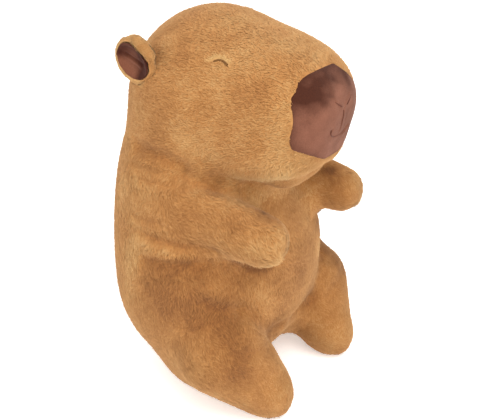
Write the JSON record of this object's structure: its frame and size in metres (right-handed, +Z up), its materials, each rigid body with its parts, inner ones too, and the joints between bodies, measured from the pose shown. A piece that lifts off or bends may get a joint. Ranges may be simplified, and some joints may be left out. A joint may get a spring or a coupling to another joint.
{
  "type": "stuffed toy capybara",
  "caption": "Plush capybara toy with closed eyes, sitting upright on its rump with stubby arms held out and short legs forward.",
  "frame": {"origin": "middle of the toy's base, on the surface that it sits on", "axes": "+Z up, -Y the way the toy faces, +X towards the toy's own left"},
  "size_m": [0.2329, 0.2188, 0.3486],
  "materials": {
    "plush": "short soft pile, golden brown, brushed in soft tufts",
    "nose_velour": "very short nap, dull maroon brown",
    "ear_lining": "very short nap, dark maroon brown",
    "stitching": "satin thread, dark brown"
  },
  "bodies": {
    "root": {"head": "plush", "torso": "plush", "arm_left": "plush", "arm_right": "plush", "leg_left": "plush", "leg_right": "plush", "ear_left": "plush", "ear_right": "plush", "ear_lining_left": "ear_lining", "ear_lining_right": "ear_lining", "nose": "nose_velour", "nostril_left": "stitching", "nostril_right": "stitching", "lip_seam": "stitching", "mouth": "stitching", "eye_left": "stitching", "eye_right": "stitching"}
  },
  "joints": []
}
